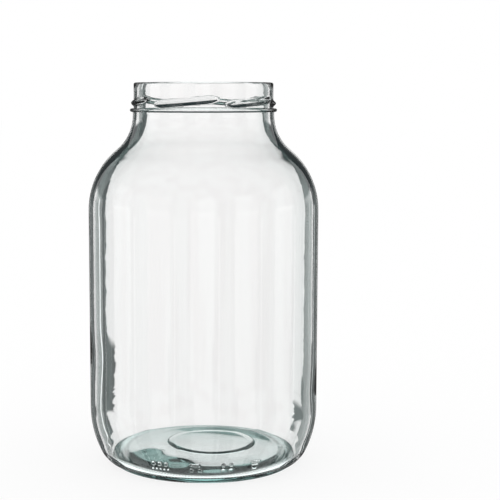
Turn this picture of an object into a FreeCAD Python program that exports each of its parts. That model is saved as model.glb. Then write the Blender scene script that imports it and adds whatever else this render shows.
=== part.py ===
"""Wide-mouth storage jar in clear glass: one solid of revolution with a screw
finish, a transfer bead, a domed floor and a knurled bearing ring.

Millimetres, +Z up. The origin is the centre of the circle the jar stands on.
-Y is the front, where the heel carries its four groups of plain raised marks.
"""
import FreeCAD, Part
import os
from math import acos, asin, cos, degrees, pi, radians, sin, sqrt

# --- driving dimensions -------------------------------------------------------
overall_height = 266.0
body_radius = 80.0

# wall and floor
wall = 4.0                    # straight wall, shoulder and neck
floor_level = 8.4             # lowest place of the inside, round the foot of the dome
floor_fillet = 8.0            # inside radius between wall and floor
floor_slope = 9.0             # degrees, slope of the floor dome where the fillet ends

# shoulder and neck
shoulder_radius = 54.0        # convex arc, tangent to the straight wall
neck_flare = 31.0             # concave arc, tangent to the neck and the shoulder
neck_radius = 48.9            # outside, just under the bead
finish_height = 22.3          # from the rim down to the top of the flare

# finish: rim, thread and bead
rim_setback = 0.65            # the wall that carries the thread lies this far inside the neck's
rim_round = 1.2
bead_proud = 2.0              # how proud of the neck the bead stands
bead_height = 2.5
bead_drop = 18.9              # from the rim down to the middle of the bead
thread_starts = 6
thread_span = 53.5            # degrees that each ridge runs
thread_front_end = -42.0      # degrees from the front to the low end of one ridge
thread_crest = 1.85           # how proud of the rim wall
thread_base = 5.0             # height of the ridge at its root
thread_land = 1.0             # height of the ridge at its crest
thread_drop = 14.8            # from the rim down to the low end of a ridge
thread_rise = 3.6             # from the low end of a ridge to its high end
thread_curve = 1.2            # power of the rise: above 1 it starts gently
thread_runout = 0.16          # share of the span over which each end tapers
thread_tip = 0.08             # how proud the very end is, as a share of the full ridge
thread_tip_base = 0.4         # height of the root at the very end, as a share of the full root
thread_stations = 17          # sections that each ridge is lofted through

# heel and underside
heel_inset = 21.5             # from the body inwards to the bearing ring
heel_large = 68.0             # arc tangent to the straight wall
heel_small = 16.0             # arc tangent to the bearing ring
bearing_flat = 2.0            # width of the flat ring that the jar stands on
underside_fillet = 1.5        # between the flat ring and the dish inside it
dish_slope = 6.0              # degrees, slope of the dish where the fillet ends
dish_slope_at_seam = 4.0      # degrees
seam_radius = 31.0            # circle where the dish ends and the push-up starts
seam_step = 0.5
push_up_slope = 5.5           # degrees, slope of the push-up at the seam

# knurl on the bearing ring
knurl_count = 180
knurl_share = 0.55            # share of the pitch that each bar fills
knurl_depth = 0.5
knurl_width = 5.5             # outwards from the bearing ring

# heel marks, plain raised pads: (degrees round from the front, height above
# the table, width, height of the pad)
mark_proud = 0.6
mark_groups = {
    "squares over a dotted line": [(-26.0 + 3.4 * k, 15.6, 2.4, 2.4) for k in range(3)]
    + [(-26.8 + 2.1 * k, 11.4, 1.0, 1.0) for k in range(5)],
    "dash over two squares": [(-4.0, 16.0, 6.4, 1.6), (-6.2, 12.4, 2.6, 2.6), (-1.8, 12.4, 2.6, 2.6)],
    "four squares": [(12.0 + 2.0 * i, 14.0 + 2.0 * k, 2.2, 2.2) for i in (-1, 1) for k in (-1, 1)],
    "three growing dashes": [(27.0, 11.2 + 2.8 * k, 3.0 + 1.8 * k, 1.4) for k in range(3)],
}

sink = 0.6                    # how deep raised features are rooted in the glass

# --- places worked out from them ----------------------------------------------
bearing_radius = body_radius - heel_inset
rim_radius = neck_radius - rim_setback
bead_radius = neck_radius + bead_proud
bead_z = overall_height - bead_drop
flare_z = overall_height - finish_height

# shoulder arc and neck flare touch where the line through their centres crosses
shoulder_r = body_radius - shoulder_radius
flare_r = neck_radius + neck_flare
centre_distance = shoulder_radius + neck_flare
shoulder_z = flare_z - sqrt(centre_distance**2 - (flare_r - shoulder_r) ** 2)
touch_angle = asin((flare_z - shoulder_z) / centre_distance)

# the two heel arcs meet at this angle from the vertical
heel_turn = asin((heel_inset - heel_large) / (heel_small - heel_large))
heel_z = heel_small * (1 - cos(heel_turn)) + heel_large * cos(heel_turn)
heel_r = body_radius - heel_large


def polar(centre, radius, angle):
    """Point at a radius and an angle (radians, from +R towards +Z) about a centre."""
    return (centre[0] + radius * cos(angle), centre[1] + radius * sin(angle))


class Outline:
    """A chain of lines and arcs in the radius-height plane."""

    def __init__(self, start):
        self.here = start
        self.edges = []

    @staticmethod
    def vector(point):
        return FreeCAD.Vector(point[0], 0, point[1])

    def line(self, end):
        self.edges.append(Part.LineSegment(self.vector(self.here), self.vector(end)).toShape())
        self.here = end

    def arc(self, centre, radius, first, last):
        """Arc about a centre, which starts where the chain ends."""
        middle = polar(centre, radius, (first + last) / 2)
        end = polar(centre, radius, last)
        ends = [self.vector(p) for p in (self.here, middle, end)]
        self.edges.append(Part.Arc(*ends).toShape())
        self.here = end

    def revolved(self, sweep=360.0):
        wire = Part.Wire(self.edges)
        return Part.Face(wire).revolve(FreeCAD.Vector(0, 0, 0), FreeCAD.Vector(0, 0, 1), sweep)


def underside(outline):
    """Push-up, the seam round it, then the shallow dish down to the bearing ring."""
    foot, brow, lift = radians(dish_slope), radians(dish_slope_at_seam), radians(push_up_slope)
    inner_edge = bearing_radius - bearing_flat
    fillet_end = polar((inner_edge, underside_fillet), underside_fillet, -pi / 2 - foot)
    dish_radius = (fillet_end[0] - seam_radius) / (sin(foot) - sin(brow))
    dish = (fillet_end[0] - dish_radius * sin(foot), fillet_end[1] - dish_radius * cos(foot))
    seam = polar(dish, dish_radius, pi / 2 - brow)
    push_up_radius = seam_radius / sin(lift)
    push_up = (0, seam[1] + seam_step - push_up_radius * cos(lift))
    outline.here = (0, push_up[1] + push_up_radius)
    outline.arc(push_up, push_up_radius, pi / 2, pi / 2 - lift)
    outline.line(seam)
    outline.arc(dish, dish_radius, pi / 2 - brow, pi / 2 - foot)
    outline.arc((inner_edge, underside_fillet), underside_fillet, -pi / 2 - foot, -pi / 2)
    outline.line((bearing_radius, 0))


def outside(outline):
    """Heel, straight wall, shoulder, flare, bead and finish, up to the rim."""
    outline.arc((bearing_radius, heel_small), heel_small, -pi / 2, heel_turn - pi / 2)
    outline.arc((heel_r, heel_z), heel_large, heel_turn - pi / 2, 0)
    outline.line((body_radius, shoulder_z))
    outline.arc((shoulder_r, shoulder_z), shoulder_radius, 0, touch_angle)
    outline.arc((flare_r, flare_z), neck_flare, pi + touch_angle, pi)
    half = bead_height / 2
    outline.line((neck_radius, bead_z - half))
    outline.line((bead_radius - half, bead_z - half))
    outline.arc((bead_radius - half, bead_z), half, -pi / 2, pi / 2)
    outline.line((rim_radius, bead_z + half))
    outline.line((rim_radius, overall_height - rim_round))


def inside(outline):
    """Rim, bore, and the walls down to the domed floor."""
    bore = neck_radius - wall
    rounded = overall_height - rim_round
    outline.arc((rim_radius - rim_round, rounded), rim_round, 0, pi / 2)
    outline.line((bore + rim_round, overall_height))
    outline.arc((bore + rim_round, rounded), rim_round, pi / 2, pi)
    outline.line((bore, flare_z))
    outline.arc((flare_r, flare_z), neck_flare + wall, pi, pi + touch_angle)
    outline.arc((shoulder_r, shoulder_z), shoulder_radius - wall, touch_angle, 0)
    outline.line((body_radius - wall, heel_z))
    reach = heel_large - wall - floor_fillet
    drop = asin((heel_z - floor_level - floor_fillet) / reach)
    outline.arc((heel_r, heel_z), heel_large - wall, 0, -drop)
    corner = polar((heel_r, heel_z), reach, -drop)
    slope = radians(floor_slope)
    outline.arc(corner, floor_fillet, -drop, -pi / 2 - slope)
    dome = outline.here[0] / sin(slope)
    centre = (0, outline.here[1] - dome * cos(slope))
    outline.arc(centre, dome, pi / 2 - slope, pi / 2)


def glass_body():
    outline = Outline((0, 0))
    underside(outline)
    first = (0, outline.edges[0].Vertexes[0].Point.z)
    outside(outline)
    inside(outline)
    outline.line(first)
    return outline.revolved()


def thread_ridge():
    """One ridge of the finish: a loft that rises to the right and tapers at both ends."""
    sections = []
    for k in range(thread_stations):
        along = k / (thread_stations - 1)
        angle = radians(thread_front_end - 90 + thread_span * along)
        height = overall_height - thread_drop + thread_rise * along**thread_curve
        run_in = sin(pi / 2 * min(1, along / thread_runout, (1 - along) / thread_runout))
        proud = thread_tip + (1 - thread_tip) * run_in
        crest = rim_radius + thread_crest * proud
        root = rim_radius - sink
        base = thread_base / 2 * (thread_tip_base + (1 - thread_tip_base) * run_in)
        land = thread_land / 2 * proud
        corners = [(root, -base), (crest, -land), (crest, land), (root, base)]
        around = [FreeCAD.Vector(r * cos(angle), r * sin(angle), height + z) for r, z in corners]
        sections.append(Part.makePolygon(around + around[:1]))
    return Part.makeLoft(sections, True, True)


def knurl_bar():
    """One radial bar, from the bearing ring out over the small heel arc."""
    ring = (bearing_radius, heel_small)
    crest = heel_small + knurl_depth
    first = acos(heel_small / crest) - pi / 2
    last = asin(knurl_width / crest) - pi / 2
    bar = Outline((bearing_radius - sink, 0))
    bar.line(polar(ring, crest, first))
    bar.arc(ring, crest, first, last)
    bar.line(polar(ring, heel_small - sink, last))
    bar.line((bearing_radius - sink, sink))
    bar.line((bearing_radius - sink, 0))
    return bar.revolved(360.0 / knurl_count * knurl_share)


def turned(shape, angle):
    copy = shape.copy()
    copy.rotate(FreeCAD.Vector(0, 0, 0), FreeCAD.Vector(0, 0, 1), angle)
    return copy


def heel_place(height):
    """Centre and radius of the heel arc at a height above the table, and the angle there."""
    if height < heel_small * (1 - cos(heel_turn)):
        centre, radius = (bearing_radius, heel_small), heel_small
    else:
        centre, radius = (heel_r, heel_z), heel_large
    return centre, radius, asin((height - centre[1]) / radius)


def heel_mark(angle, height, width, tall):
    """A raised pad on the heel, which follows its curve."""
    centre, radius, middle = heel_place(height)
    half = tall / 2 / radius
    pad = Outline(polar(centre, radius - sink, middle - half))
    pad.line(polar(centre, radius + mark_proud, middle - half))
    pad.arc(centre, radius + mark_proud, middle - half, middle + half)
    pad.line(polar(centre, radius - sink, middle + half))
    pad.line(polar(centre, radius - sink, middle - half))
    sweep = degrees(width / (centre[0] + radius * cos(middle)))
    return turned(pad.revolved(sweep), angle - 90 - sweep / 2)


ridges = [turned(thread_ridge(), 360.0 / thread_starts * k) for k in range(thread_starts)]
bars = [turned(knurl_bar(), 360.0 / knurl_count * k) for k in range(knurl_count)]
marks = [heel_mark(*mark) for group in mark_groups.values() for mark in group]
jar = glass_body().fuse(ridges + bars + marks).Solids[0]

os.makedirs("parts", exist_ok=True)
jar.exportStep("parts/jar.step")

print("valid", jar.isValid(), "faces", len(jar.Faces))
print("glass cm3", round(jar.Volume / 1000, 1))
print("box", jar.optimalBoundingBox())
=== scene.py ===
# %% [markdown]
# This lesson makes a wide-mouth storage jar: one piece of moulded glass with a screw finish, a bead under it,
# round shoulders, a straight wall and a thick, slightly uneven floor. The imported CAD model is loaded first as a
# fixed frame, because every place and size below has to agree with it.
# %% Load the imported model
from math import asin, atan2, cos, degrees, exp, hypot, pi, radians, sin, sqrt

import bmesh
import bpy
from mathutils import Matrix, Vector, noise


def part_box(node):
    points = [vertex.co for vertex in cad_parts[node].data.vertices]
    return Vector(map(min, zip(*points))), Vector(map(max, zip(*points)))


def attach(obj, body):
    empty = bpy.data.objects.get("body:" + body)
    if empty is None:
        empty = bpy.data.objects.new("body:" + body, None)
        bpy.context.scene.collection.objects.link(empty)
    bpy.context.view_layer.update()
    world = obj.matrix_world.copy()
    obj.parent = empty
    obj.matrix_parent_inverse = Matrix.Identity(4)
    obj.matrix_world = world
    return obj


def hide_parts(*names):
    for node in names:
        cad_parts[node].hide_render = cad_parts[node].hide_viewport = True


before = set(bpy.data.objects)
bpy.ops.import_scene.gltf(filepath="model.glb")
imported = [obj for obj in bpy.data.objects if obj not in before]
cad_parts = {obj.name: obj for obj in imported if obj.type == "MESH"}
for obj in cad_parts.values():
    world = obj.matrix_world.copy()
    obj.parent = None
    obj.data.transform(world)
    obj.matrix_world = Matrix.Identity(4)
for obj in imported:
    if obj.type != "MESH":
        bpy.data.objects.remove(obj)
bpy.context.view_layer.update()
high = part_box("jar")[1]
MM = 0.001
JAR_HEIGHT = high[2]
BODY_RADIUS = high[0]
print("jar", round(JAR_HEIGHT / MM, 1), "mm high,", round(2 * BODY_RADIUS / MM, 1), "mm across the body")

# %% [markdown]
# The camera comes next, so that each later step can be looked at as it will be seen. A long lens a little under a
# metre away, slightly above the rim, looks down by a few degrees. The shift puts the jar left of the middle
# without turning the camera, so its sides stay parallel.
# %% Camera
camera = bpy.data.objects.new("camera", bpy.data.cameras.new("camera"))
bpy.context.scene.collection.objects.link(camera)
bpy.context.scene.camera = camera
bpy.context.scene.view_settings.view_transform = "Standard"
CAMERA_PITCH = radians(6.9)
camera.data.sensor_width = 36
camera.data.lens = 93
camera.data.shift_x = 0.093
camera.location = (0, -0.9, 0.2583)
camera.rotation_euler = (pi / 2 - CAMERA_PITCH, 0, 0)
print("camera at", [round(c, 3) for c in camera.location])

# %% [markdown]
# The real jar is pressed and blown in a mould that is round, so its glass is a section swept round an axis. A lathe
# modifier, stacked primitives or a spin can make that. A spin is used, because the inside and outside then come as
# one closed shell, and glass only bends light correctly in a closed shell. The section is drawn with a pen: its
# tip is a vertex, which an extrude drags along a line and a small spin swings round an arc. Each vertex also
# remembers its zone of the jar, so that later steps find it again.
# %% The pen
shell = bmesh.new()
zone_of = shell.verts.layers.int.new("zone")
OUTSIDE, FINISH, BORE, WALL_INSIDE, FLOOR_INSIDE = range(5)


class Pen:
    """Draws in the XZ plane. Places are (radius, height) in metres."""

    def __init__(self, place, zone):
        self.zone = zone
        self.tip = shell.verts.new((place[0], 0, place[1]))
        self.tip[zone_of] = zone

    def line(self, place, steps=1):
        stride = (Vector((place[0], 0, place[1])) - self.tip.co) / steps
        for _ in range(steps):
            dragged = bmesh.ops.extrude_vert_indiv(shell, verts=[self.tip])["verts"]
            bmesh.ops.translate(shell, verts=dragged, vec=stride)
            self.tip = dragged[0]
            self.tip[zone_of] = self.zone

    def arc(self, centre, turn, steps):
        """A positive turn is anticlockwise when seen from the front."""
        for _ in range(steps):
            swung = bmesh.ops.spin(shell, geom=[self.tip], cent=(centre[0], 0, centre[1]), axis=(0, -1, 0),
                                   angle=turn / steps, steps=1, use_merge=False, use_duplicate=False)
            self.tip = next(v for v in swung["geom_last"] if isinstance(v, bmesh.types.BMVert))
            self.tip[zone_of] = self.zone


def polar(centre, radius, angle):
    return (centre[0] + radius * cos(angle), centre[1] + radius * sin(angle))


# %% [markdown]
# The underside is hollow, so that the jar stands on a narrow ring and doesn't rock. On the real jar it is a shallow
# dish, and inside a fine seam the bottom plate of the mould leaves a push-up. The seam is a groove a fraction of a
# millimetre deep, yet it shows all the way round, because its two sides send light elsewhere. The slopes matter more
# than they seem to: a degree more or less decides whether light leaves the floor or is trapped in it.
# %% Underside
BEARING_RADIUS = BODY_RADIUS - 21.5 * MM
BEARING_FLAT = 2 * MM
FOOT_FILLET = 1.5 * MM
DISH_SLOPE = radians(6)
DISH_SLOPE_AT_SEAM = radians(4)
SEAM_RADIUS = 31 * MM
SEAM_STEP = 0.5 * MM
SEAM_GROOVE = 0.2 * MM
SEAM_WIDTH = 0.8 * MM
PUSH_UP_SLOPE = radians(5.5)

foot = (BEARING_RADIUS - BEARING_FLAT, FOOT_FILLET)
fillet_end = polar(foot, FOOT_FILLET, -pi / 2 - DISH_SLOPE)
dish_radius = (fillet_end[0] - SEAM_RADIUS) / (sin(DISH_SLOPE) - sin(DISH_SLOPE_AT_SEAM))
dish = polar(fillet_end, dish_radius, -pi / 2 - DISH_SLOPE)
seam = polar(dish, dish_radius, pi / 2 - DISH_SLOPE_AT_SEAM)
push_up_radius = (SEAM_RADIUS - SEAM_WIDTH) / sin(PUSH_UP_SLOPE)
push_up = (0, seam[1] + SEAM_STEP - push_up_radius * cos(PUSH_UP_SLOPE))

pen = Pen((0, push_up[1] + push_up_radius), OUTSIDE)
pen.arc(push_up, -PUSH_UP_SLOPE, 6)
pen.line((SEAM_RADIUS - SEAM_WIDTH / 2, seam[1] + SEAM_STEP + SEAM_GROOVE))
pen.line(seam)
pen.arc(dish, DISH_SLOPE_AT_SEAM - DISH_SLOPE, 6)
pen.arc(foot, DISH_SLOPE, 3)
pen.line((BEARING_RADIUS, 0), 2)
print("underside: middle is", round((push_up[1] + push_up_radius) / MM, 2), "mm above the table")

# %% [markdown]
# The heel rounds the underside into the wall. Two arcs that touch, a tight one low down and a wide one above it,
# give the soft, barrel-like foot of a moulded jar, which one arc can't. The shoulder and the flare of the neck
# are two more arcs, and the place where they touch follows from their centres.
# %% Heel, wall and shoulder
HEEL_SMALL = 16 * MM
HEEL_LARGE = 68 * MM
SHOULDER_RADIUS = 54 * MM
NECK_FLARE = 31 * MM
NECK_RADIUS = 48.9 * MM
FLARE_Z = JAR_HEIGHT - 22.3 * MM

heel_inset = BODY_RADIUS - BEARING_RADIUS
heel_turn = asin((heel_inset - HEEL_LARGE) / (HEEL_SMALL - HEEL_LARGE))
heel_small = (BEARING_RADIUS, HEEL_SMALL)
heel_large = (BODY_RADIUS - HEEL_LARGE, HEEL_SMALL * (1 - cos(heel_turn)) + HEEL_LARGE * cos(heel_turn))
flare = (NECK_RADIUS + NECK_FLARE, FLARE_Z)
centres_apart = SHOULDER_RADIUS + NECK_FLARE
shoulder_r = BODY_RADIUS - SHOULDER_RADIUS
shoulder = (shoulder_r, FLARE_Z - sqrt(centres_apart**2 - (flare[0] - shoulder_r) ** 2))
touch = asin((FLARE_Z - shoulder[1]) / centres_apart)

pen.arc(heel_small, heel_turn, 16)
pen.arc(heel_large, pi / 2 - heel_turn, 20)
pen.line((BODY_RADIUS, shoulder[1]), 6)
pen.arc(shoulder, touch, 14)
pen.arc(flare, -touch, 9)
print("the straight wall runs from", round(heel_large[1] / MM, 1), "to", round(shoulder[1] / MM, 1), "mm")

# %% [markdown]
# The finish is what glassmakers call the part that takes the lid: a bead to hold the jar by in the factory, then a
# slightly narrower wall for the thread, then the rounded rim. The wall is drawn plain but with close rows, because
# the thread is raised from it later.
# %% Bead, finish wall and rim
BEAD_RADIUS = NECK_RADIUS + 2 * MM
BEAD_HALF = 1.25 * MM
BEAD_Z = JAR_HEIGHT - 18.9 * MM
FINISH_RADIUS = NECK_RADIUS - 0.65 * MM
FINISH_TOP = BEAD_Z + 11.25 * MM
RIM_ROUND = 1.2 * MM
WALL = 4 * MM
bore_radius = NECK_RADIUS - WALL

pen.line((NECK_RADIUS, BEAD_Z - BEAD_HALF))
pen.line((BEAD_RADIUS - BEAD_HALF, BEAD_Z - BEAD_HALF))
pen.arc((BEAD_RADIUS - BEAD_HALF, BEAD_Z), pi, 8)
pen.line((FINISH_RADIUS, BEAD_Z + BEAD_HALF))
pen.zone = FINISH
pen.line((FINISH_RADIUS, FINISH_TOP), 20)
pen.line((FINISH_RADIUS, JAR_HEIGHT - RIM_ROUND), 2)
pen.arc((FINISH_RADIUS - RIM_ROUND, JAR_HEIGHT - RIM_ROUND), pi / 2, 4)
pen.zone = BORE
pen.line((bore_radius + RIM_ROUND, JAR_HEIGHT))
pen.arc((bore_radius + RIM_ROUND, JAR_HEIGHT - RIM_ROUND), pi / 2, 4)
print("rim wall", round(2 * FINISH_RADIUS / MM, 1), "mm across, bead", round(2 * BEAD_RADIUS / MM, 1), "mm")

# %% [markdown]
# The inside is blown, not pressed, so it follows the outside at the thickness of the wall. Low down the glass
# gathers: the inside turns in a tighter curve than the outside and meets a domed floor about twice as thick as
# the wall. The last vertex lies on the axis, which closes the pole once the section is spun.
# %% Inside and floor
FLOOR_LEVEL = 8.4 * MM
FLOOR_FILLET = 8 * MM
FLOOR_SLOPE = radians(9)
reach = HEEL_LARGE - WALL - FLOOR_FILLET
drop = asin((heel_large[1] - FLOOR_LEVEL - FLOOR_FILLET) / reach)
corner = polar(heel_large, reach, -drop)

pen.line((bore_radius, FLARE_Z), 4)
pen.arc(flare, touch, 8)
pen.zone = WALL_INSIDE
pen.arc(shoulder, -touch, 12)
pen.line((BODY_RADIUS - WALL, heel_large[1]), 30)
pen.arc(heel_large, -drop, 10)
pen.zone = FLOOR_INSIDE
pen.arc(corner, drop - pi / 2 - FLOOR_SLOPE, 12)
floor_edge = pen.tip.co.copy()
floor_radius = floor_edge.x / sin(FLOOR_SLOPE)
pen.arc((0, floor_edge.z - floor_radius * cos(FLOOR_SLOPE)), FLOOR_SLOPE, 18)
pen.tip.co.x = 0
floor_middle = pen.tip.co.z
print("section of", len(shell.verts), "vertices; floor", round((floor_middle - push_up[1] - push_up_radius) / MM, 1),
      "mm thick in the middle")

# %% [markdown]
# One full turn makes the shell. The first and last section are merged by the spin, the doubles at the two poles
# are merged after it, and the normals are then made to point out of the glass: away from the axis outside, and
# towards it inside.
# %% Spin the section
COLUMNS = 360
bmesh.ops.spin(shell, geom=shell.verts[:] + shell.edges[:], cent=(0, 0, 0), axis=(0, 0, 1), dvec=(0, 0, 0),
               angle=2 * pi, steps=COLUMNS, use_merge=True, use_duplicate=False)
bmesh.ops.remove_doubles(shell, verts=shell.verts[:], dist=1e-6)
bmesh.ops.recalc_face_normals(shell, faces=shell.faces[:])
print("shell of", len(shell.faces), "faces,", sum(not e.is_manifold for e in shell.edges), "open edges,",
      round(shell.calc_volume() * 1e6, 1), "cubic centimetres of glass")


# %% [markdown]
# The seam of the push-up isn't quite in the middle, because the bottom plate and the mould are two tools. A spin can
# only make things that are centred, so the points of the underside are shifted after it, a few millimetres to the
# right and back. They move as one as far out as the seam, and less and less from there towards the ring.
# %% Seam off centre
SEAM_RIGHT, SEAM_BACK = 5.5 * MM, 6 * MM
SHIFT_WHOLE, SHIFT_NONE = 33 * MM, 52 * MM

shifted = 0
for v in shell.verts:
    r = hypot(v.co.x, v.co.y)
    if v[zone_of] == OUTSIDE and r < SHIFT_NONE and v.co.z < FLOOR_LEVEL:
        share = min(1, (SHIFT_NONE - r) / (SHIFT_NONE - SHIFT_WHOLE))
        v.co.x += share * SEAM_RIGHT
        v.co.y += share * SEAM_BACK
        shifted += 1
print("seam off centre:", shifted, "points moved")

# %% [markdown]
# The small relief is raised by moving vertices, as a mould cutter would sink it into the mould. Three helpers say
# where a vertex is: how many degrees round from the front, how far from the axis, and how far up the heel along
# its curve.
# %% Where a vertex is
def round_from_front(v):
    return (degrees(atan2(v.co.y, v.co.x)) + 270) % 360 - 180


def out_from_axis(v):
    return hypot(v.co.x, v.co.y)


heel_join = HEEL_SMALL * (1 - cos(heel_turn))
SLACK = 0.1 * MM


def heel_centre(height):
    """Centre and radius of the heel arc that a height belongs to."""
    return (heel_small, HEEL_SMALL) if height < heel_join else (heel_large, HEEL_LARGE)


def up_the_heel(height):
    """Length of the heel's curve from the bearing ring up to a height."""
    centre, radius = heel_centre(height)
    angle = asin(max(-1, (height - centre[1]) / radius)) + pi / 2
    return radius * angle if radius == HEEL_SMALL else HEEL_SMALL * heel_turn + radius * (angle - heel_turn)


def on_heel(v, top):
    """Whether a vertex lies on the heel's outside, below a height."""
    if v.co.z > top or v[zone_of] != OUTSIDE or out_from_axis(v) < BEARING_RADIUS - SLACK:
        return False
    centre, radius = heel_centre(v.co.z)
    return abs(hypot(out_from_axis(v) - centre[0], v.co.z - centre[1]) - radius) < SLACK / 2


def push_from_heel(v, amount):
    """Sets a vertex a distance out from the heel's curve, but never below the table."""
    centre, radius = heel_centre(v.co.z)
    r = out_from_axis(v)
    away = Vector((r - centre[0], v.co.z - centre[1])).normalized() * (radius + amount)
    stretch = (centre[0] + away.x) / r
    v.co = (v.co.x * stretch, v.co.y * stretch, max(0, centre[1] + away.y))


# %% [markdown]
# The ring that the jar stands on is knurled with short radial bars, so that the hot jar isn't chilled all the way
# round when it is set down. The bars stand out of the heel, and between them the ring itself is notched, which
# draws its circle as a row of dots. One bar every two degrees needs points every half degree, so the rows there are
# subdivided once before every other pair of columns is moved.
# %% Knurl on the bearing ring
BARS = 180
STEPS_PER_BAR = 4
BAR_PROUD = 0.5 * MM
BAR_LENGTH = 5.5 * MM
NOTCH_DEEP = 0.7 * MM
SAME = 1e-7
bar_top = heel_small[1] - HEEL_SMALL * cos(asin(BAR_LENGTH / HEEL_SMALL))


def on_ring(v):
    """Whether a vertex lies on the flat ring or on the small round inside it."""
    if v[zone_of] != OUTSIDE or v.co.z >= FOOT_FILLET / 2:
        return False
    return foot[0] - FOOT_FILLET < out_from_axis(v) < BEARING_RADIUS + SLACK


def is_hoop(edge):
    """Whether an edge runs round the jar, and not up or down."""
    a, b = edge.verts
    return abs(a.co.z - b.co.z) < SAME and abs(out_from_axis(a) - out_from_axis(b)) < SAME


hoops = [e for e in shell.edges if all(on_heel(v, bar_top + SLACK) or on_ring(v) for v in e.verts) and is_hoop(e)]
bmesh.ops.subdivide_edges(shell, edges=hoops, cuts=1)
raised, notched = 0, 0
for v in shell.verts:
    is_bar = round(round_from_front(v) / 360 * BARS * STEPS_PER_BAR) % STEPS_PER_BAR in (0, 1)
    if is_bar and on_heel(v, bar_top):
        push_from_heel(v, BAR_PROUD)
        raised += 1
    elif not is_bar and on_ring(v):
        v.co.z += NOTCH_DEEP
        notched += 1
print("knurl:", BARS, "bars from", len(hoops), "subdivided edges,", raised, "points raised,", notched, "notched")

# %% [markdown]
# The front of the heel carries raised mould marks. Here they are plain pads: three squares over a dotted line, a
# dash over two squares, four squares, and three dashes that grow. They could be separate blocks set into the
# glass, but then the shell would cut itself. Instead the faces under them are subdivided finely, laid back on the
# heel's curve, and pushed out where a pad is, with a soft edge as moulded glass has.
# %% Marks on the heel
PAD_PROUD = 0.6 * MM
PAD_EDGE = 0.5 * MM
# degrees round from the front, height above the table, width, height of the pad
pads = [(-26 + 3.4 * k, 15.6, 2.4, 2.4) for k in range(3)] + [(-26.8 + 2.1 * k, 11.4, 1, 1) for k in range(5)]
pads += [(-4, 16, 6.4, 1.6), (-6.2, 12.4, 2.6, 2.6), (-1.8, 12.4, 2.6, 2.6)]
pads += [(12 + 2 * i, 14 + 2 * k, 2.2, 2.2) for i in (-1, 1) for k in (-1, 1)]
pads += [(27, 11.2 + 2.8 * k, 3 + 1.8 * k, 1.4) for k in range(3)]
BAND_LOW, BAND_TOP = 8 * MM, 20 * MM
BAND_LEFT, BAND_RIGHT = -31, 33


def in_mark_band(v):
    return on_heel(v, BAND_TOP) and v.co.z > BAND_LOW and BAND_LEFT < round_from_front(v) < BAND_RIGHT


band = [f for f in shell.faces if all(in_mark_band(v) for v in f.verts)]
band_edges = list({e for f in band for e in f.edges})
bmesh.ops.subdivide_edges(shell, edges=band_edges, cuts=2, use_grid_fill=True)


def pad_height(angle, height):
    """How proud the heel is at a place, from 0 to PAD_PROUD."""
    r = heel_centre(height)[0][0] + sqrt(heel_centre(height)[1] ** 2 - (height - heel_centre(height)[0][1]) ** 2)
    best = 0
    for pad_angle, pad_z, width, tall in pads:
        sideways = abs(radians(angle - pad_angle)) * r - width / 2 * MM
        upwards = abs(up_the_heel(height) - up_the_heel(pad_z * MM)) - tall / 2 * MM
        inside = min(1, max(0, 0.5 - max(sideways, upwards) / PAD_EDGE))
        best = max(best, inside * inside * (3 - 2 * inside))
    return best * PAD_PROUD


mark_points = [v for v in shell.verts if in_mark_band(v)]
for v in mark_points:
    push_from_heel(v, pad_height(round_from_front(v), v.co.z))
print("marks:", len(pads), "pads over", len(mark_points), "points")

# %% [markdown]
# The thread of this finish is interrupted: six ridges go round the rim wall, and each climbs a little to the right
# and thins out at both ends. A lid with six lugs catches under them. A ridge is a soft hump in section, so a
# cosine raised to a power gives it without any corner.
# %% Thread
RIDGES = 6
RIDGE_SPAN = 53.5
RIDGE_START = -42.0
RIDGE_PROUD = 1.85 * MM
RIDGE_HALF = 2.5 * MM
RIDGE_LOW = JAR_HEIGHT - 14.8 * MM
RIDGE_CLIMB = 3.6 * MM
RIDGE_TAPER = 0.16
END_WIDTH, END_PROUD = 0.4, 0.08
CLIMB_CURVE, SECTION_CURVE = 1.2, 1.5


def ridge(angle, height):
    along = (angle - RIDGE_START) % (360 / RIDGES) / RIDGE_SPAN
    if along > 1:
        return 0
    full = sin(pi / 2 * min(1, along / RIDGE_TAPER, (1 - along) / RIDGE_TAPER))
    half = RIDGE_HALF * (END_WIDTH + (1 - END_WIDTH) * full)
    off = abs(height - RIDGE_LOW - RIDGE_CLIMB * along**CLIMB_CURVE) / half
    return RIDGE_PROUD * (END_PROUD + (1 - END_PROUD) * full) * cos(min(1, off) * pi / 2) ** SECTION_CURVE


def push_from_axis(v, amount):
    r = out_from_axis(v)
    v.co.x *= (r + amount) / r
    v.co.y *= (r + amount) / r


crest = 0
for v in shell.verts:
    if v[zone_of] == FINISH and v.co.z < FINISH_TOP:
        push_from_axis(v, ridge(round_from_front(v), v.co.z))
        crest = max(crest, out_from_axis(v))
print("thread crest", round(2 * crest / MM, 1), "mm across")

# %% [markdown]
# The inside of a blown jar is never quite true: the wall wanders by a few hundredths of a millimetre, and the glass
# is thicker in places low down, where it cooled first. Bump in the material would not do here, because what shows
# is how the whole wall bends the light. So the points of the inside are moved, by smooth noise for the
# wandering and by broad bell-shaped swells for the thick places.
# %% Uneven wall inside
WANDER = 0.03 * MM
RIPPLE = 0.01 * MM
WAVES_ROUND, WAVES_UP, RIPPLE_FINER = 1.6, 10, 4.3
WALL_FOOT = 24 * MM
# degrees round from the front, height, spread round, spread up, how much thicker (the sizes in mm)
thick_places = [(-90, 75, 24, 15, 0.3), (90, 50, 24, 13, 0.3)]


def bell(distance, spread):
    return exp(-((distance / spread) ** 2))


def off_by(angle, other):
    return (angle - other + 180) % 360 - 180


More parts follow.
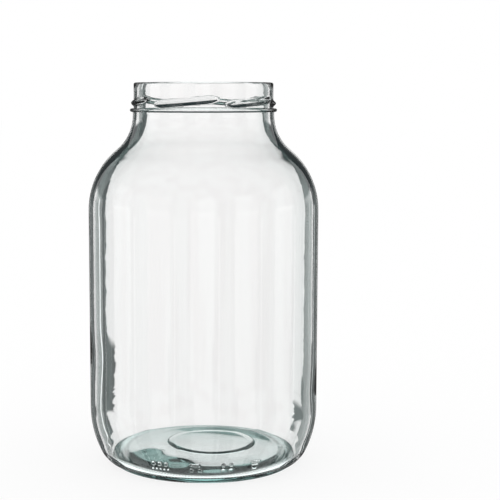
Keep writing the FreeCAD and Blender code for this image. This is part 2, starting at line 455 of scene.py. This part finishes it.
def wall_swell(v):
    angle, r = round_from_front(v), out_from_axis(v)
    around = Vector((v.co.x / r * WAVES_ROUND, v.co.y / r * WAVES_ROUND, v.co.z * WAVES_UP))
    swell = WANDER * noise.noise(around) + RIPPLE * noise.noise(around * RIPPLE_FINER)
    for place, height, spread, tall, thicker in thick_places:
        swell -= thicker * MM * bell(off_by(angle, place), spread) * bell(v.co.z / MM - height, tall)
    return swell


moved = [v for v in shell.verts if v[zone_of] == WALL_INSIDE and v.co.z > WALL_FOOT]
for v in moved:
    push_from_axis(v, wall_swell(v))
print("uneven wall:", len(moved), "points moved")

# %% [markdown]
# The floor is the last glass to set, so it is wavier than the wall: low swells run round the foot of the dome, and a
# shallow gutter runs round its edge. They are what breaks the light in the base into crescents and streaks, and
# the gutter lets light through the heel. Both fade out where the floor turns up into the wall.
# %% Uneven floor
FLOOR_WANDER = 0.03 * MM
FLOOR_WAVES, FLOOR_SEED = 25, 3.3
# degrees round from the front, distance from the axis, spread round, spread out, rise (the sizes in mm)
floor_swells = [(-57, 42, 17, 8, 2.0), (-28, 44, 15, 7, 0.9), (42, 46, 16, 5, 0.3), (155, 41, 40, 13, 0.9)]
GUTTER_RADIUS, GUTTER_WIDE, GUTTER_DEEP = 65 * MM, 4 * MM, 2.6 * MM
FADE_FROM, FADE_TO = 14 * MM, 24 * MM


def floor_rise(v):
    angle, r = round_from_front(v), out_from_axis(v)
    rise = FLOOR_WANDER * noise.noise(Vector((v.co.x * FLOOR_WAVES, v.co.y * FLOOR_WAVES, FLOOR_SEED)))
    for place, out, spread, wide, swell in floor_swells:
        rise += swell * MM * bell(off_by(angle, place), spread) * bell(r / MM - out, wide)
    rise -= GUTTER_DEEP * bell(r - GUTTER_RADIUS, GUTTER_WIDE)
    return rise * min(1, max(0, (FADE_TO - v.co.z) / (FADE_TO - FADE_FROM)))


floor_points = [v for v in shell.verts if v[zone_of] in (FLOOR_INSIDE, WALL_INSIDE) and v.co.z < FADE_TO]
for v in floor_points:
    v.co.z += floor_rise(v)
print("uneven floor:", len(floor_points), "points moved")

# %% [markdown]
# The shell becomes the one piece of this object. It rides on the only body and stands for the CAD solid. Faces are
# smooth, except across edges sharper than half a right angle, so that the bead and the knurl keep their corners.
# %% The jar
bmesh.ops.recalc_face_normals(shell, faces=shell.faces[:])
open_edges = sum(not e.is_manifold for e in shell.edges)
mesh = bpy.data.meshes.new("jar_glass")
shell.to_mesh(mesh)
shell.free()
mesh.attributes.remove(mesh.attributes["zone"])
mesh.shade_smooth()
mesh.set_sharp_from_angle(angle=radians(45))
jar = bpy.data.objects.new("jar_glass", mesh)
bpy.context.scene.collection.objects.link(jar)
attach(jar, "root")
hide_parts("jar")
mesh.calc_loop_triangles()
print("jar_glass:", len(mesh.loop_triangles), "triangles,", open_edges, "open edges")


# %% [markdown]
# Both the glass and the studio are built from nodes, so a small helper adds a node, sets it and joins it up.
# A value can be a number, a colour or the output of another node.
# %% Node helper
class Nodes:
    def __init__(self, tree):
        self.tree = tree

    def add(self, kind, inputs=None, **settings):
        node = self.tree.nodes.new(kind)
        for name, value in settings.items():
            setattr(node, name, value)
        for name, value in (inputs or {}).items():
            self.feed(node.inputs[name], value)
        return node

    def feed(self, socket, value):
        if isinstance(value, bpy.types.NodeSocket):
            self.tree.links.new(value, socket)
        else:
            socket.default_value = value

    def math(self, operation, *values):
        return self.add("ShaderNodeMath", dict(enumerate(values)), operation=operation).outputs[0]

    def fade(self, value, start, end, first=0.0, last=1.0):
        """Goes smoothly from first to last while the value goes from start to end."""
        limits = {"Value": value, "From Min": start, "From Max": end, "To Min": first, "To Max": last}
        return self.add("ShaderNodeMapRange", limits, interpolation_type="SMOOTHSTEP").outputs["Result"]

    def colours(self, share, first, second):
        return self.add("ShaderNodeMix", {"Factor": share, 6: first, 7: second}, data_type="RGBA").outputs[2]


def grey(level):
    return (level, level, level, 1)


# %% [markdown]
# The finish is clear soda-lime glass. Its aqua comes from a trace of iron and only shows where light goes through a
# lot of it, so the colour is set as absorption in the volume and the surface stays white. Moulded glass has a
# faint orange peel, made by noise through a Bump node, and fingers and dust leave smudges that are slightly
# rougher. Index, transmission and absorption are the same everywhere, so they are plain numbers.
# %% Glass
glass = bpy.data.materials.new("aqua_glass")
glass.use_nodes = True
nodes = Nodes(glass.node_tree)
shader = glass.node_tree.nodes["Principled BSDF"]
shader.inputs["Base Color"].default_value = (1, 1, 1, 1)
shader.inputs["IOR"].default_value = 1.52
shader.inputs["Transmission Weight"].default_value = 1.0
place = nodes.add("ShaderNodeTexCoord").outputs["Object"]

SMUDGE_ROUGH = 0.008
smudge = nodes.add("ShaderNodeTexNoise", {"Vector": place, "Scale": 38.0, "Detail": 5.0, "Roughness": 0.65})
rough = nodes.fade(smudge.outputs["Fac"], 0.56, 0.78, 0.0, SMUDGE_ROUGH)
nodes.feed(shader.inputs["Roughness"], rough)

PEEL_DEEP = 0.0015 * MM
peel = nodes.add("ShaderNodeTexNoise", {"Vector": place, "Scale": 60.0, "Detail": 1.0, "Roughness": 0.4})
bump = nodes.add("ShaderNodeBump", {"Strength": 1.0, "Distance": PEEL_DEEP, "Height": peel.outputs["Fac"]})
nodes.feed(shader.inputs["Normal"], bump.outputs["Normal"])

AQUA = (0.375, 0.70, 0.675, 1)
ABSORPTION = 14.0
tint = nodes.add("ShaderNodeVolumeAbsorption", {"Color": AQUA, "Density": ABSORPTION})
nodes.feed(glass.node_tree.nodes["Material Output"].inputs["Volume"], tint.outputs[0])
jar.data.materials.append(glass)
print("glass material with", len(glass.node_tree.nodes), "nodes")

# %% [markdown]
# The jar stands on a plain white table. Seen directly, the table is mostly its own white, so that it runs into the
# white background, with a share of real shading left for the jar's soft shadow. Rays that went through the glass
# or were reflected by it pass the table and meet the studio instead.
# %% Table
bpy.ops.mesh.primitive_plane_add(size=20)
floor = bpy.context.object
floor.name = "floor"
TABLE_GLOW = 0.85
white_table = bpy.data.materials.new("white_table")
white_table.use_nodes = True
white_table.node_tree.nodes.clear()
nodes = Nodes(white_table.node_tree)
light_path = nodes.add("ShaderNodeLightPath").outputs
paint = nodes.add("ShaderNodeBsdfDiffuse", {"Color": grey(1.0)}).outputs[0]
glow = nodes.add("ShaderNodeEmission", {"Color": grey(1.0), "Strength": 1.0}).outputs[0]
seen = nodes.add("ShaderNodeMixShader", {0: TABLE_GLOW, 1: paint, 2: glow}).outputs[0]
clear = nodes.add("ShaderNodeBsdfTransparent").outputs[0]
through_glass = nodes.math("MAXIMUM", light_path["Is Transmission Ray"], light_path["Is Glossy Ray"])
top = nodes.add("ShaderNodeMixShader", {0: through_glass, 1: seen, 2: clear}).outputs[0]
nodes.add("ShaderNodeOutputMaterial", {"Surface": top})
floor.data.materials.append(white_table)
print("table of", round(floor.dimensions.x), "m")

# %% [markdown]
# Clear glass shows its shape best in a bright field: a white panel behind it, and dark cards at its sides, which the
# curved edges of the glass pick up as dark lines. The studio here is a world shader. Directions are split into
# eight equal sectors, each with its own panel and cards, so the jar looks the same when it is seen from other
# sides. This cell works out where in its sector a direction is, and how high it points.
# %% Studio directions
studio = bpy.data.worlds.new("studio")
bpy.context.scene.world = studio
studio.use_nodes = True
studio.node_tree.nodes.clear()
nodes = Nodes(studio.node_tree)
SECTORS = 8
SECTOR = 360 / SECTORS
direction = nodes.add("ShaderNodeTexCoord").outputs["Generated"]
part = nodes.add("ShaderNodeSeparateXYZ", {"Vector": direction}).outputs
heading = nodes.math("ARCTAN2", part["X"], part["Y"])
sectors_round = nodes.math("ADD", nodes.math("MULTIPLY", heading, SECTORS / (2 * pi)), 0.5)
side = nodes.math("MULTIPLY", nodes.math("SUBTRACT", nodes.math("FRACT", sectors_round), 0.5), SECTOR)
height = nodes.math("MULTIPLY", nodes.math("ARCSINE", part["Z"]), 180 / pi)
print("studio in", SECTORS, "sectors of", SECTOR, "degrees")

# %% [markdown]
# The cards come first. Level with the jar they are dark grey. Higher up they are nearly black with an aqua cast,
# which darkens the shoulder, and so are those low down. Thin gaps between them draw the fine pale lines inside the
# jar's edges, but only beside the wall, so that the neck's sides stay dark. The ceiling is dark too.
# %% Cards and gaps
CARD_NEAR, CARD_FAR = (0.16, 0.165, 0.165, 1), (0.17, 0.19, 0.187, 1)
CARD_ABOVE, CARD_BELOW = (0.015, 0.024, 0.026, 1), (0.03, 0.04, 0.04, 1)
CEILING = grey(0.02)
# the two angles in degrees between which one card fades into the next
NEAR_TO_FAR, TO_ABOVE, TO_BELOW, TO_CEILING = (17.0, 20.0), (-3.0, 5.0), (-24.0, -16.0), (55.0, 75.0)
PANEL_LOW, PANEL_HIGH = -62.0, 3.5
GAPS_HIGH, GAPS_END_SOFT, GAP_SOFT = -3.2, 1.0, 0.3
# where a gap starts and ends, degrees to the side, and how bright it is
gaps = [(-16.2, -15.3, 1.6), (18.2, 18.9, 0.6), (26.5, 28.5, 0.3), (-28.5, -26.5, 0.25)]


def between(value, start, end, soft):
    """1 between start and end, fading to 0 over a soft edge outside them."""
    return nodes.math("MULTIPLY", nodes.fade(value, start - soft, start), nodes.fade(value, end, end + soft, 1.0, 0.0))


aside = nodes.math("ABSOLUTE", side)
light = nodes.colours(nodes.fade(aside, *NEAR_TO_FAR), CARD_NEAR, CARD_FAR)
light = nodes.colours(nodes.fade(height, *TO_ABOVE), light, CARD_ABOVE)
light = nodes.colours(nodes.fade(height, *TO_BELOW, 1.0, 0.0), light, CARD_BELOW)
beside_wall = between(height, PANEL_LOW, GAPS_HIGH, GAPS_END_SOFT)
for start, end, level in gaps:
    gap = nodes.math("MULTIPLY", between(side, start, end, GAP_SOFT), beside_wall)
    light = nodes.colours(gap, light, grey(level))
light = nodes.colours(nodes.fade(height, *TO_CEILING), light, CEILING)
print("cards with", len(gaps), "gaps")

# %% [markdown]
# The panel is a tall rectangle between the cards, and it reaches far down, since the thick base looks at what is
# under it. Its sides are a little ragged, like hung cloth, because a straight edge would draw the dark lines of the
# wall too straight. Two low cards stand in front of it, one at each side, and widen those lines low on the wall.
# %% Shape of the panel
PANEL_LEFT, PANEL_RIGHT = -10.8, 12.9
PANEL_SOFT, PANEL_END_SOFT = 0.4, 3.0
RAG_SCALE, RAG_WIDTH = 1.3, 2.4
# a low card: the two angles its inner edge fades between, then its bottom, its top and how soft they are
LEFT_CARD_EDGE, LEFT_CARD_ENDS = (-9.0, -8.6), (-13.8, -11.2, 0.3)
RIGHT_CARD_EDGE, RIGHT_CARD_ENDS = (9.0, 9.6), (-15.0, -13.6, 0.8)


def inverted(mask):
    """0 where a mask is 1, and 1 where it is 0."""
    return nodes.math("SUBTRACT", 1.0, mask)


rag = nodes.add("ShaderNodeTexNoise", {"W": height, "Scale": RAG_SCALE, "Detail": 4.0, "Roughness": 0.7},
                noise_dimensions="1D").outputs["Fac"]
rag = nodes.math("MULTIPLY", nodes.math("SUBTRACT", rag, 0.5), RAG_WIDTH)
ragged_side = nodes.math("ADD", side, rag)
panel = nodes.math("MULTIPLY", between(ragged_side, PANEL_LEFT, PANEL_RIGHT, PANEL_SOFT),
                   between(height, PANEL_LOW, PANEL_HIGH, PANEL_END_SOFT))
low_left = nodes.math("MULTIPLY", nodes.fade(ragged_side, *LEFT_CARD_EDGE, 1.0, 0.0), between(height, *LEFT_CARD_ENDS))
low_right = nodes.math("MULTIPLY", nodes.fade(ragged_side, *RIGHT_CARD_EDGE), between(height, *RIGHT_CARD_ENDS))
panel = nodes.math("MULTIPLY", panel, inverted(nodes.math("MAXIMUM", low_left, low_right)))
print("panel from", PANEL_LEFT, "to", PANEL_RIGHT, "degrees")

# %% [markdown]
# The panel is slightly brighter at the top, on the left and near its sides, and a touch warm, which evens out the
# aqua of the thin wall. Its foot is brighter and cooler, since the thick base gets its light from there. Straight
# below, under the jar, everything is as bright as the foot.
# %% Light of the panel
PANEL_WARMTH = 1.045
PANEL_FOOT = (1.38, 1.46, 1.45, 1)
# two angles in degrees, and how bright the panel is at each
BRIGHTER_UP, DIMMER_RIGHT, BRIGHTER_ASIDE = (-16.0, -2.0, 1.03, 1.08), (-10.0, 10.0, 1.0, 0.97), (3.0, 11.0, 1.0, 1.07)
FOOT_TO_PANEL, BELOW_TO_FOOT = (-42.0, -28.0), (-56.0, -46.0)
panel_level = nodes.math("MULTIPLY", nodes.fade(height, *BRIGHTER_UP), nodes.fade(side, *DIMMER_RIGHT))
panel_level = nodes.math("MULTIPLY", panel_level, nodes.fade(aside, *BRIGHTER_ASIDE))
panel_red = nodes.math("MULTIPLY", panel_level, PANEL_WARMTH)
panel_white = nodes.add("ShaderNodeCombineColor", {0: panel_red, 1: panel_level, 2: panel_level}).outputs[0]
panel_white = nodes.colours(nodes.fade(height, *FOOT_TO_PANEL), PANEL_FOOT, panel_white)
light = nodes.colours(panel, light, panel_white)
light = nodes.colours(nodes.fade(height, *BELOW_TO_FOOT, 1.0, 0.0), light, PANEL_FOOT)
print("light of the panel's foot", PANEL_FOOT[:3])

# %% [markdown]
# Reflections off the outside are kept calm: they see an even dim grey with one soft window just above the horizon,
# which leaves a highlight on the shoulder. Light that was reflected once inside a wall still sees the panel. Light
# that was trapped in the glass for longer sees a mottle, from a dark aqua to a pale one, since many small things
# round a real jar end up in its base.
# %% Reflections and trapped light
MIRROR_DIM, MIRROR_WINDOW = grey(0.08), grey(0.7)
WINDOW_LOW, WINDOW_HIGH = 4.0, 24.0
TRAPPED_DARK, TRAPPED_PALE = (0.03, 0.05, 0.047, 1), (0.42, 0.52, 0.50, 1)
MOTTLE_DARK, MOTTLE_PALE = 0.40, 0.56
light_path = nodes.add("ShaderNodeLightPath").outputs
surfaces_passed = light_path["Transmission Depth"]
reflected = nodes.math("GREATER_THAN", light_path["Glossy Depth"], 0.5)
one_wall = nodes.math("COMPARE", surfaces_passed, 2.0, 0.5)
mirrored = nodes.math("MULTIPLY", reflected, inverted(one_wall))
window = nodes.math("MULTIPLY", between(side, PANEL_LEFT, PANEL_RIGHT, PANEL_SOFT),
                    between(height, WINDOW_LOW, WINDOW_HIGH, PANEL_END_SOFT))
window = nodes.math("MULTIPLY", window, nodes.math("LESS_THAN", surfaces_passed, 0.5))
mirror_light = nodes.colours(window, MIRROR_DIM, MIRROR_WINDOW)
mottle = nodes.add("ShaderNodeTexNoise", {"Vector": direction, "W": 2.0, "Scale": 4.0, "Detail": 2.0},
                   noise_dimensions="4D").outputs["Fac"]
trapped = nodes.math("GREATER_THAN", surfaces_passed, 2.5)
trapped_light = nodes.colours(nodes.fade(mottle, MOTTLE_DARK, MOTTLE_PALE), TRAPPED_DARK, TRAPPED_PALE)
light = nodes.colours(mirrored, light, nodes.colours(trapped, mirror_light, trapped_light))
print("reflections: dim", MIRROR_DIM[0], "window", MIRROR_WINDOW[0])

# %% [markdown]
# The last switch decides who sees the studio at all. The camera, and the shading of the table, see plain white
# instead, so that the jar stands in front of an even white.
# %% Background
plain = nodes.math("MAXIMUM", light_path["Is Camera Ray"], light_path["Is Diffuse Ray"])
light = nodes.colours(plain, light, grey(1.0))
backdrop = nodes.add("ShaderNodeBackground", {"Color": light, "Strength": 1.0}).outputs[0]
nodes.add("ShaderNodeOutputWorld", {"Surface": backdrop})
print("studio with", len(studio.node_tree.nodes), "nodes")
